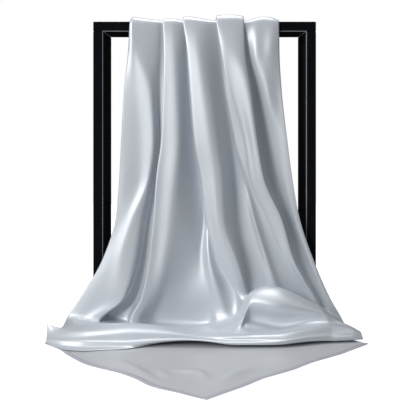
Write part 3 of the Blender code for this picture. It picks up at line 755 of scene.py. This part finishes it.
@dataclass
class DrapedScarf:
    """The scarf from its hidden back corner over the board to the fold on the floor.

    Attributes:
        board_top: The height of the top board's upper face.
        board_front: The y of its front edge.
        board_back: The y of its back edge.
        thickness: The cloth's thickness.
        back_drop: How far the back corner hangs down at its middle.
        back_edge_drop: How far it hangs down at its two sides.
        back_flare: How much deeper its folds are at that drop.
        back_wave: How far the folds sway there.
        back_waves: How closely they sway, in radians a metre across.
        off_board: How far the cloth stays off the board's back edge.
        lean: How far forward the fall leans by the floor, and how far back it starts to turn.
        lean_power: How late the fall leans out on its way down.
        columns_per_fold: The columns of points from one fold line to the next.
        back_rows: The rows of points behind the board.
        turn_rows: The rows round each edge of the board.
        turn_drop: How far the front turn starts below the board's upper face.
        top_rows: The rows over the board between the turns.
        fall_rows: The rows down the front.
        base: The height of the lip's underside.
        landing: How far in front of the fall's line it has landed, at least.
        foot_dip: How much lower the floor's fold is behind that.
        full_tuck: The tuck from which the billow's underside turns right back.
        spread_range: How far from the middle the ends start to spread, and where fully.
        spread_by: How far they spread.
        spread_over: Over how many of the outline's points they do.
        ends: The x of the floor fold's two ends.
        knots: The fold lines, from left to right.
        stations: The floor's table, read closely spaced, in metres.
        wave_x: Each column's x at every height.
        wave_out: How far each column stands out at every height.
    """

    board_top: float
    board_front: float
    board_back: float
    thickness: float = 0.0004
    back_drop: float = 0.198
    back_edge_drop: float = 0.014
    back_flare: float = 1.35
    back_wave: float = 0.004
    back_waves: float = 90.0
    off_board: float = 0.0012
    lean: float = 0.007
    lean_power: float = 1.4
    columns_per_fold: int = 5
    back_rows: int = 26
    turn_rows: int = 10
    turn_drop: float = 0.003
    top_rows: int = 10
    fall_rows: int = 110
    base: float = 0.0024
    landing: float = 0.019
    foot_dip: float = 0.002
    full_tuck: float = 0.003
    spread_range: tuple[float, float] = (0.12, 0.215)
    spread_by: float = 0.023
    spread_over: float = 4.0
    ends: tuple[float, float] = (-0.2365, 0.2375)
    knots: tuple[Fold, ...] = FOLDS
    stations: np.ndarray = field(init=False)
    wave_x: np.ndarray = field(init=False)
    wave_out: np.ndarray = field(init=False)

    def __post_init__(self) -> None:
        """Read the tables of the fall and the floor once, closely spaced."""
        heights = np.arange(0.0, self.board_top + 2.0 * WAVE_STEP, WAVE_STEP)
        waves = [self.fold_wave(height) for height in heights]
        self.wave_x = np.array([xs for xs, _ in waves])
        self.wave_out = np.array([outs for _, outs in waves])
        places = [row.x for row in FLOOR_STATIONS]
        rows = np.array([row.row() for row in FLOOR_STATIONS])
        close = np.arange(places[0], places[-1] + STATION_STEP, STATION_STEP)
        columns = [smooth_curve(places, rows[:, index], close) for index in range(rows.shape[1])]
        self.stations = np.stack(columns, axis=1) * MM

    def falling_line(self, height: float | np.ndarray) -> np.ndarray:
        """Return the y that the front folds stand out from, at heights."""
        drop = np.clip((self.board_top - np.asarray(height)) / self.board_top, 0.0, 1.0)
        return self.board_front - self.lean * drop ** self.lean_power

    def spread(self, lengths: np.ndarray, values: np.ndarray) -> np.ndarray:
        """Read one value of the fold lines at every column.

        Args:
            lengths: How far along the wave each fold line is.
            values: Each fold line's value.

        Returns:
            The value of each column.
        """
        lines = np.arange(len(lengths))
        columns = np.linspace(0.0, lines[-1], self.columns_per_fold * lines[-1] + 1)
        return smooth_curve(lengths, values, np.interp(columns, lines, lengths))

    def fold_wave(self, height: float) -> tuple[np.ndarray, np.ndarray]:
        """Read the fold lines at one height.

        Args:
            height: The height, in metres.

        Returns:
            Each column's x, and how far out it stands.
        """
        level = height / MM
        xs = np.array([float(smooth_curve(FALL_LEVELS, fold.across, level)) for fold in self.knots])
        outs = np.array([float(smooth_curve(FALL_LEVELS, fold.out, level)) for fold in self.knots])
        lengths = self.run(np.hypot(np.diff(xs), np.diff(outs)))
        return self.spread(lengths, xs * MM), self.spread(lengths, outs * MM)

    def run(self, chords: np.ndarray) -> np.ndarray:
        """Return how far along the wave each fold line is, at least LEAST_CHORD apart."""
        return np.concatenate([[0.0], np.cumsum(chords + LEAST_CHORD)])

    def hump_wave(self) -> np.ndarray:
        """Read how high the cloth stands on top of the board.

        Returns:
            The height of each column.
        """
        xs = np.array([fold.across[0] for fold in self.knots])
        humps = np.array([fold.hump for fold in self.knots])
        return self.spread(self.run(np.abs(np.diff(xs))), humps * MM)

    def station(self, x: float) -> np.ndarray:
        """Read the floor's table at one place across.

        Args:
            x: The place, in metres.

        Returns:
            The fold's row of values there, in metres.
        """
        at = (x / MM - FLOOR_STATIONS[0].x) / STATION_STEP
        at = min(max(at, 0.0), len(self.stations) - LAST_ROW)
        index = int(at)
        share = at - index
        return (1.0 - share) * self.stations[index] + share * self.stations[index + 1]

    def floor_height(self, station: np.ndarray, y: float) -> float:
        """Read the height that the fall lands on.

        Args:
            station: The floor fold's row of values.
            y: The place from back to front, as far as the hollow.

        Returns:
            The height there.
        """
        foot = station[0]
        billow_y, billow_z, edge_y, edge_z, hollow_y, hollow_z = station[3:9]
        back = self.board_front - self.lean
        landed = min(back - self.landing, (back + billow_y) / 2)
        ys = [back, landed, billow_y, edge_y, hollow_y]
        zs = [foot - self.foot_dip, foot, billow_z, edge_z, hollow_z]
        return float(smooth_curve(ys, zs, y))

    def bead(self, x: float, ys: np.ndarray) -> np.ndarray:
        """Work out the slim ridge that crosses the hollow.

        Args:
            x: The place across.
            ys: Places from back to front there.

        Returns:
            How high the ridge stands at each.
        """
        xs, middles = (np.array(values) * MM for values in zip(*POOL_RIDGE))
        aside = (ys - np.interp(x, xs, middles)) / RIDGE_HALF_WIDTH
        return RIDGE_HEIGHT * within(RIDGE_RISE, RIDGE_END, x) * np.exp(-aside ** 2)

    def outline(self, station: np.ndarray, foot: np.ndarray) -> tuple[list[float], list[float]]:
        """Work out the floor fold's outline, from the fall's foot to its flat underside.

        Args:
            station: The fold's row of values.
            foot: The point where the fall meets it.

        Returns:
            The outline's ys and its zs.
        """
        _, tuck, gap, billow_y, billow_z, edge_y, edge_z, hollow_y, hollow_z = station[:9]
        under_y, under_z = station[-2:]
        share = min(tuck / self.full_tuck, 1.0)
        tuck_y = (1.0 - share) * 0.5 * (edge_y + hollow_y) + share * (edge_y + tuck)
        tuck_z = 0.45 * edge_z + 0.55 * hollow_z
        billow_y = min(billow_y, foot[1] - LEAST_BILLOW)
        rise = under_z - self.base
        ys = [foot[1], billow_y, edge_y, tuck_y, hollow_y, *station[9:-2:2], under_y]
        ys += [under_y + back * gap for back, _ in UNDER_TURN]
        zs = [foot[2], billow_z, edge_z, tuck_z, hollow_z, *station[10:-2:2], under_z]
        zs += [self.base + left * rise for _, left in UNDER_TURN]
        return ys, zs

    def feet(self) -> np.ndarray:
        """Find where the fall meets the fold on the floor, a little nearer on each lap.

        Returns:
            The height of each column's foot.
        """
        feet = np.full(self.wave_x.shape[1], FIRST_FOOT)
        for _ in range(FOOT_LAPS):
            xs, outs = self.columns_at(feet)
            ys = self.falling_line(feet) - outs
            below = [self.floor_height(self.station(x), y) for x, y in zip(xs, ys)]
            feet = 0.5 * (feet + np.array(below))
        return feet

    def columns_at(self, heights: np.ndarray) -> tuple[np.ndarray, np.ndarray]:
        """Read the fold lines with each column at a height of its own.

        Args:
            heights: The height of each column.

        Returns:
            Each column's x, and how far out it stands.
        """
        at = np.clip(heights / WAVE_STEP, 0.0, len(self.wave_x) - LAST_ROW)
        index = at.astype(int)
        share = at - index
        column = np.arange(self.wave_x.shape[1])
        xs = (1.0 - share) * self.wave_x[index, column] + share * self.wave_x[index + 1, column]
        outs = ((1.0 - share) * self.wave_out[index, column]
                + share * self.wave_out[index + 1, column])
        return xs, outs

    def back_points(self) -> list[np.ndarray]:
        """Work out what hangs behind the board.

        Returns:
            The rows of points, from the hem up.
        """
        xs, outs = self.fold_wave(self.board_top)
        half = np.max(np.abs(xs))
        reach = self.back_edge_drop + (self.back_drop - self.back_edge_drop) * (
            1.0 - np.abs(xs) / half)
        rows = []
        for step in range(self.back_rows):
            share = 1.0 - step / self.back_rows
            fall = share * reach
            flare = 1.0 + (self.back_flare - 1.0) * fall / self.back_drop
            rows.append(np.stack([
                xs + self.back_wave * fall / self.back_drop * np.sin(self.back_waves * xs),
                self.board_back + (outs + self.off_board) * flare,
                self.board_top - fall,
            ], axis=1))
        return rows

    def board_points(self) -> list[np.ndarray]:
        """Work out what lies over the top board.

        Returns:
            The rows of points, from back to front.
        """
        xs, outs = self.fold_wave(self.board_top)
        humps = self.hump_wave()
        front = self.board_front + self.lean
        rows = []
        turns = [(self.board_back, angle) for angle in
                 np.linspace(0.0, math.pi / 2, self.turn_rows)]
        for step in range(1, self.top_rows):
            share = step / self.top_rows
            turns.append((self.board_back + share * (front - self.board_back), math.pi / 2))
        turns += [(front, angle) for angle in np.linspace(math.pi / 2, math.pi, self.turn_rows)]
        for y, angle in turns:
            side = math.cos(angle)
            up = math.sin(angle)
            reach = outs + (self.off_board if side > 0.0 else self.lean)
            drop = 0.0 if side > 0.0 else self.turn_drop
            rows.append(np.stack([
                xs,
                y + side * reach,
                self.board_top - drop + up * (humps + drop),
            ], axis=1))
        return rows

    def fall_points(self, feet: np.ndarray) -> list[np.ndarray]:
        """Work out the front fall.

        Args:
            feet: The height of each column's foot.

        Returns:
            The rows of points, from the board down to the floor's fold.
        """
        rows = []
        for share in np.linspace(0.0, 1.0, self.fall_rows + 1)[1:]:
            heights = self.board_top + share * (feet - self.board_top)
            xs, outs = self.columns_at(heights)
            rows.append(np.stack([xs, self.falling_line(heights) - outs, heights], axis=1))
        return rows

    def floor_points(self, foot: np.ndarray) -> list[np.ndarray]:
        """Work out what lies on the floor.

        Args:
            foot: The fall's last row of points.

        Returns:
            The rows of points, from that row out and round under the lip.
        """
        count = len(foot)
        shares = np.concatenate([
            index + np.arange(1, steps + 1) / steps for index, steps in enumerate(FLOOR_STEPS)])
        rows = np.zeros((len(shares), count, 3))
        reach = smooth_step(0.0, self.spread_over, shares)
        for column in range(count):
            x = foot[column][0]
            side = float(smooth_step(*self.spread_range, abs(x)))
            spread = math.copysign(self.spread_by * side, x)
            end_x = float(np.clip(x + spread, *self.ends))
            ys, zs = self.outline(self.station(end_x), foot[column])
            knots = np.arange(len(ys))
            rows[:, column, 0] = x + reach * (end_x - x)
            rows[:, column, 1] = smooth_curve(knots, ys, shares)
            rows[:, column, 2] = smooth_curve(knots, zs, shares)
            rows[:, column, 2] += self.bead(end_x, rows[:, column, 1])
        return list(rows)

    def grid(self) -> np.ndarray:
        """Work out the whole drape.

        Returns:
            Its points from the back hem to under the lip, rows by columns by 3.
        """
        feet = self.feet()
        fall = self.fall_points(feet)
        above = self.back_points() + self.board_points() + fall
        grid = np.array(above + self.floor_points(fall[-1]))
        return self.relaxed(grid, len(above) - 1)

    def relaxed(self, grid: np.ndarray, foot: int) -> np.ndarray:
        """Soften the creases of a grid a little, as cloth does, and the floor's rather more.

        Args:
            grid: The points, rows by columns by 3.
            foot: The row where the fall meets the floor's fold.

        Returns:
            The softened points.
        """
        for _ in range(SOFT_LAPS):
            grid[:, 1:-1] = averaged(grid[:, :-2], grid[:, 1:-1], grid[:, 2:])
        for _ in range(SOFT_LAPS):
            grid[1:-1] = averaged(grid[:-2], grid[1:-1], grid[2:])
        near = within(CREASE_RISE, CREASE_END, grid[foot, :, 0])
        span = np.arange(foot + CREASE_ROWS[0], foot + CREASE_ROWS[1])
        weight = np.sin(math.pi * (np.arange(len(span)) + 0.5) / len(span))
        weight = (weight[:, None] * near[None, :])[..., None]
        for _ in range(CREASE_LAPS):
            middle = (grid[span - 1] + grid[span + 1]) / 2.0
            grid[span] += 0.5 * weight * (middle - grid[span])
        for lap in range(FLOOR_LAPS):
            first = foot + 1 + lap // 2
            grid[first:, 1:-1] = averaged(grid[first:, :-2], grid[first:, 1:-1], grid[first:, 2:])
        return grid

    def build(self, finish: SatinFinish) -> bpy.types.Object:
        """Model the drape and dress it.

        Args:
            finish: The satin that it takes.

        Returns:
            The finished piece.
        """
        grid = self.grid()
        rows, columns = grid.shape[:2]
        return cloth_sheet("scarf_drape", grid.reshape(-1, 3),
                           grid_quads(rows, columns).reshape(-1, 4),
                           cloth_places(grid).reshape(-1, 2), self.thickness, finish)


@dataclass
class FlatCorner:
    """The scarf's flat front corner, with its turned and stitched hem.

    Attributes:
        tip_x: The x of its tip.
        tip_y: The y of its tip.
        reach: How far along each hem it goes.
        thickness: The cloth's thickness.
        hem_width: The width of the turned hem.
        hem_rise: How much higher the doubled hem is.
        hem_step: Where that height falls off, before and past the hem's width.
        seam_depth: How deep the sewing draws the cloth in.
        seam_place: How far past the hem's width the sewing is deepest.
        seam_half: Half the width of its groove.
        rest: The height of the cloth's middle above the floor.
        waver: How high the cloth's slight wavering is.
        waver_base: How far the wavering is raised, before what is below 0 is cut off.
        edge_lift: How high the edge curls off the floor.
        edge_curl: How far in from the edge the curl reaches.
        sway_fade: How far in the left and the right hem's bowing reaches.
        fine_cells: The cells across the hem and its sewing.
        fine_share: Their width in all, in widths of the hem.
        cells: The rows of points in from there.
        back_y: The y that the cloth ends at, hidden under the fold.
    """

    tip_x: float = 0.002
    tip_y: float = -0.404
    reach: float = 0.338
    thickness: float = 0.0005
    hem_width: float = 0.007
    hem_rise: float = 0.0005
    hem_step: tuple[float, float] = (-0.0008, 0.0006)
    seam_depth: float = 0.0005
    seam_place: float = 0.0005
    seam_half: float = 0.0008
    rest: float = 0.0005
    waver: float = 0.0005
    waver_base: float = 0.0003
    edge_lift: float = 0.0006
    edge_curl: float = 0.006
    sway_fade: tuple[float, float] = (0.06, 0.05)
    fine_cells: int = 6
    fine_share: float = 1.5
    cells: int = 150
    back_y: float = -0.075

    def height(self, p: np.ndarray, q: np.ndarray, x: np.ndarray, y: np.ndarray) -> np.ndarray:
        """Return the cloth's height above the floor.

        Args:
            p: How far each place is along the left hem from the tip.
            q: How far it is along the right hem.
            x: Its x.
            y: Its y.

        Returns:
            The heights, in metres.
        """
        # The wave numbers are in radians a metre, and none is a multiple of another.
        wave = self.waver * np.sin(31.0 * p + 17.0 * q) * np.sin(24.0 * q - 9.0 * p + 0.6)
        for ripple in RIPPLES:
            wave = wave + self.ripple_height(ripple, x, y)
        near = np.minimum(p, q)
        start, stop = (self.hem_width + step for step in self.hem_step)
        rise = self.hem_rise * (1.0 - smooth_step(start, stop, near))
        aside = (near - self.hem_width - self.seam_place) / self.seam_half
        seam = self.seam_depth * np.exp(-aside ** 2)
        curl = 0.5 + 0.5 * np.sin(52.0 * (p + 1.3 * q) + 0.8)
        lift = self.edge_lift * curl * np.exp(-near / self.edge_curl)
        return self.rest + np.maximum(wave + self.waver_base, 0.0) + rise - seam + lift

    def ripple_height(self, ripple: Ripple, x: np.ndarray, y: np.ndarray) -> np.ndarray:
        """Work out one ripple.

        Args:
            ripple: The ripple.
            x: The places' x.
            y: The places' y.

        Returns:
            How high it stands at each place.
        """
        start = np.array(ripple.start) * MM
        run = np.array(ripple.end) * MM - start
        length = np.hypot(*run)
        along = ((x - start[0]) * run[0] + (y - start[1]) * run[1]) / length
        aside = ((x - start[0]) * run[1] - (y - start[1]) * run[0]) / length
        middle = (along - length / 2) / (RIPPLE_REACH * length)
        return ripple.height * MM * np.exp(-middle ** 2 - (aside / (ripple.width * MM)) ** 2)

    def sway(self, table: tuple[tuple[float, float], ...], at: np.ndarray) -> np.ndarray:
        """Read how far a hem bows out.

        Args:
            table: The hem's table.
            at: Distances along it from the tip, in metres.

        Returns:
            The bow at each of them, in metres.
        """
        places = [place for place, _ in table]
        values = [value for _, value in table]
        return smooth_curve(places, values, at / MM) * MM

    def place(self, p: np.ndarray, q: np.ndarray) -> tuple[np.ndarray, np.ndarray, np.ndarray]:
        """Lay places of the flat cloth down on the floor.

        Args:
            p: How far each place is along the left hem from the tip.
            q: How far it is along the right hem.

        Returns:
            Their x, y and z.
        """
        half = math.sqrt(0.5)
        left_fade, right_fade = self.sway_fade
        a = p - self.sway(RIGHT_HEM_SWAY, q) * np.exp(-p / right_fade)
        b = q - self.sway(LEFT_HEM_SWAY, p) * np.exp(-q / left_fade)
        x = self.tip_x - half * a + half * b
        y = self.tip_y + half * a + half * b
        return x, y, self.height(p, q, x, y)

    def grid(self) -> tuple[np.ndarray, np.ndarray, np.ndarray]:
        """Work out the corner, closely spaced along its hems.

        Returns:
            Its points, its faces and its places on the flat cloth.
        """
        margin = self.hem_width * self.fine_share
        fine = np.linspace(0.0, margin, self.fine_cells + 1)
        rest = np.linspace(margin, self.reach, self.cells)[1:]
        steps = np.concatenate([fine, rest])
        p, q = np.meshgrid(steps, steps, indexing="ij")
        x, y, z = self.place(p, q)
        points = np.stack([x, y, z], axis=-1)
        # Each face's corners run the other way round than the drape's, so that it looks up.
        quads = grid_quads(len(steps), len(steps))[..., [0, 3, 2, 1]]
        middle = (y[:-1, :-1] + y[1:, 1:]) / 2
        kept = quads[middle < self.back_y]
        return points.reshape(-1, 3), kept, np.stack([p, q], axis=-1).reshape(-1, 2)

    def build(self, finish: SatinFinish) -> bpy.types.Object:
        """Model the corner and dress it.

        Args:
            finish: The satin that it takes.

        Returns:
            The finished piece.
        """
        return cloth_sheet("scarf_corner", *self.grid(), self.thickness, finish)


@dataclass
class HemStitches:
    """The short stitches that hold the flat corner's two hems.

    Attributes:
        corner: The corner that they lie on.
        length: A stitch's length.
        pitch: From one stitch to the next.
        width: A stitch's width.
        height: A stitch's height.
        rounding: How much its edges are cut back.
        first: How far from the tip the first one starts.
        last: How far from the tip the last one can start.
    """

    corner: FlatCorner
    length: float = 0.0024
    pitch: float = 0.0037
    width: float = 0.0005
    height: float = 0.0004
    rounding: float = 0.00012
    first: float = 0.009
    last: float = 0.300

    def places(self) -> list[tuple[Vector, float]]:
        """Work out where the stitches lie.

        Returns:
            Each stitch's middle, and its turn about the upright.
        """
        seam = self.corner.hem_width
        found = []
        for left in (True, False):
            for start in np.arange(self.first, self.last, self.pitch):
                run = np.array([start, start + self.length])
                across = np.full(2, seam)
                p, q = (run, across) if left else (across, run)
                x, y, z = self.corner.place(p, q)
                middle = Vector((x.mean(), y.mean(), z.mean() + self.corner.thickness))
                found.append((middle, math.atan2(y[1] - y[0], x[1] - x[0])))
        return found

    def build(self, finish: SatinFinish) -> bpy.types.Object:
        """Model the stitches and dress them.

        Args:
            finish: The thread's finish.

        Returns:
            The finished piece.
        """
        bpy.ops.object.select_all(action="DESELECT")
        item = bpy.data.objects.new("hem_stitches", bpy.data.meshes.new("hem_stitches"))
        bpy.context.scene.collection.objects.link(item)
        item.data.uv_layers.new(name="cloth")
        bpy.context.view_layer.objects.active = item
        item.select_set(True)
        bpy.ops.object.mode_set(mode="EDIT")
        for middle, turn in self.places():
            bpy.ops.mesh.primitive_cube_add(
                size=1.0, location=middle, rotation=(0.0, 0.0, turn),
                scale=(self.length, self.width, self.height))
        bpy.ops.mesh.select_all(action="SELECT")
        bpy.ops.mesh.bevel(offset=self.rounding, segments=1)
        bpy.ops.object.mode_set(mode="OBJECT")
        item.select_set(False)
        item.data.materials.append(finish.material())
        return item


@dataclass
class DisplayStand:
    """The black stand that carries the scarf. Its boards stay the frame's own.

    Attributes:
        boards: The nodes that it is made of.
    """

    boards: tuple[str, ...] = (
        "stand_top_board", "stand_bottom_board", "stand_left_board", "stand_right_board")

    def dress(self, finish: LacquerFinish) -> None:
        """Give every board the lacquer.

        Args:
            finish: The lacquer that they take.
        """
        material = finish.material()
        for name in self.boards:
            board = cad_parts[name]
            board.data.materials.clear()
            board.data.materials.append(material)
            log.info("dressed %s", name)


@dataclass
class Studio:
    """The pale floor, the soft lights, the dim world and the camera.

    Attributes:
        focal_px: The camera's focal length, in pixels of the photograph.
        camera_place: Where the camera stands. It looks level, straight ahead.
        centre_px: The pixel that it looks at.
        floor_place: The middle of the floor.
        floor_radius: Its radius.
        floor_sides: The number of its sides.
        floor_colour: Its colour.
        floor_glow: How much it glows on the cloth, and to the camera.
        world_colour: The dim light from all round.
        white: What the camera sees behind the object.
    """

    focal_px: float = 833.0
    camera_place: tuple[float, float, float] = (0.0, -1.405, 0.3586)
    centre_px: tuple[float, float] = (204.6, 103.0)
    floor_place: tuple[float, float, float] = (0.0, 0.5, -0.0004)
    floor_radius: float = 1.1
    floor_sides: int = 96
    floor_colour: tuple[float, float, float, float] = (0.8, 0.8, 0.8, 1.0)
    floor_glow: tuple[float, float] = (0.12, 0.95)
    world_colour: tuple[float, float, float, float] = (0.117, 0.126, 0.14, 1.0)
    white: tuple[float, float, float, float] = (1.0, 1.0, 1.0, 1.0)

    def build(self) -> None:
        """Build the camera, the floor, the lights and the world."""
        self.add_camera()
        self.add_floor()
        self.add_lights()
        self.set_world()
        bpy.context.scene.view_settings.view_transform = "Standard"

    def add_camera(self) -> None:
        """Place the camera where the photograph was taken from."""
        data = bpy.data.cameras.new("camera")
        data.sensor_width = SENSOR
        data.lens = self.focal_px / PHOTO_WIDTH_PX * SENSOR
        middle = PHOTO_WIDTH_PX / 2
        data.shift_x = (middle - self.centre_px[0]) / PHOTO_WIDTH_PX
        data.shift_y = (self.centre_px[1] - middle) / PHOTO_WIDTH_PX
        camera = bpy.data.objects.new("camera", data)
        camera.location = self.camera_place
        camera.rotation_euler = Euler((math.pi / 2, 0.0, 0.0))
        bpy.context.scene.collection.objects.link(camera)
        bpy.context.scene.camera = camera

    def add_floor(self) -> None:
        """Add the pale round floor, which glows so that it looks white to the camera."""
        bpy.ops.object.select_all(action="DESELECT")
        bpy.ops.mesh.primitive_circle_add(vertices=self.floor_sides, radius=self.floor_radius,
                                          fill_type="NGON", location=self.floor_place)
        floor = bpy.context.active_object
        floor.name = "studio_floor"
        material = bpy.data.materials.new("studio_white")
        material.use_nodes = True
        tree = material.node_tree
        shader = tree.nodes["Principled BSDF"]
        shader.inputs["Base Color"].default_value = self.floor_colour
        shader.inputs["Roughness"].default_value = 0.9
        shader.inputs["Emission Color"].default_value = self.white
        rays = tree.nodes.new("ShaderNodeLightPath")
        glow = tree.nodes.new("ShaderNodeMapRange")
        glow.inputs["To Min"].default_value, glow.inputs["To Max"].default_value = self.floor_glow
        feed(tree, glow.inputs["Value"], rays.outputs["Is Camera Ray"])
        feed(tree, shader.inputs["Emission Strength"], glow.outputs["Result"])
        floor.data.materials.append(material)

    def add_light(self, name: str, place: tuple[float, float, float],
                  target: tuple[float, float, float], size: tuple[float, float],
                  power: float) -> None:
        """Add a soft area light.

        Args:
            name: The light's name.
            place: Where it stands.
            target: What it points at.
            size: Its width and height.
            power: Its power in watts.
        """
        data = bpy.data.lights.new(name, "AREA")
        data.shape = "RECTANGLE"
        data.size, data.size_y = size
        data.energy = power
        light = bpy.data.objects.new(name, data)
        light.location = place
        aim = Vector(target) - Vector(place)
        light.rotation_euler = aim.to_track_quat("-Z", "Y").to_euler()
        bpy.context.scene.collection.objects.link(light)

    def add_lights(self) -> None:
        """Add the soft key from the front left, and a weaker light from straight above."""
        self.add_light("key", (-1.65, -1.85, 1.3), (0.0, -0.1, 0.25), (0.9, 1.4), 47.0)
        self.add_light("top", (0.0, -0.1, 2.0), (0.0, -0.1, 0.0), (0.9, 0.6), 17.0)

    def set_world(self) -> None:
        """Set a dim grey world, white behind the object."""
        world = bpy.data.worlds.new("studio")
        world.use_nodes = True
        tree = world.node_tree
        rays = tree.nodes.new("ShaderNodeLightPath")
        seen = blend(tree, rays.outputs["Is Camera Ray"], self.world_colour, self.white)
        feed(tree, tree.nodes["Background"].inputs["Color"], seen)
        bpy.context.scene.world = world


def main() -> None:
    """Build the whole scene around the frame."""
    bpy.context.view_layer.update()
    low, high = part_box("stand_top_board")
    _, left_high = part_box("stand_left_board")
    Studio().build()
    log.info("built the studio")
    DisplayStand().dress(LacquerFinish(half_inside=-left_high[0], front=low[1], ceiling=low[2]))

    layout = FlatCorner()
    satin = SatinFinish("silver_satin_face", colour=(0.64, 0.67, 0.71, 1.0), roughness=0.47,
                        metallic=0.42, sheen=0.05)
    dull = SatinFinish("silver_satin_reverse", colour=(0.585, 0.6, 0.615, 1.0), roughness=0.43,
                       metallic=0.2, sheen=0.1, hem=layout.hem_width)
    thread = SatinFinish("silver_thread", colour=(0.5, 0.51, 0.54, 1.0), roughness=0.5,
                         metallic=0.2, sheen=0.1)

    drape = DrapedScarf(board_top=high[2], board_front=low[1], board_back=high[1]).build(satin)
    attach(drape, ROOT)
    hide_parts("scarf_over_board", "scarf_front_fall", "scarf_back_fall",
                "scarf_floor_fold")
    log.info("built %s", drape.name)

    corner = layout.build(dull)
    stitches = HemStitches(layout).build(thread)
    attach(stitches, ROOT)
    log.info("built %s", stitches.name)
    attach(corner, ROOT)
    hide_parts("scarf_flat_corner")
    log.info("built %s", corner.name)


if __name__ == "__main__":
    main()
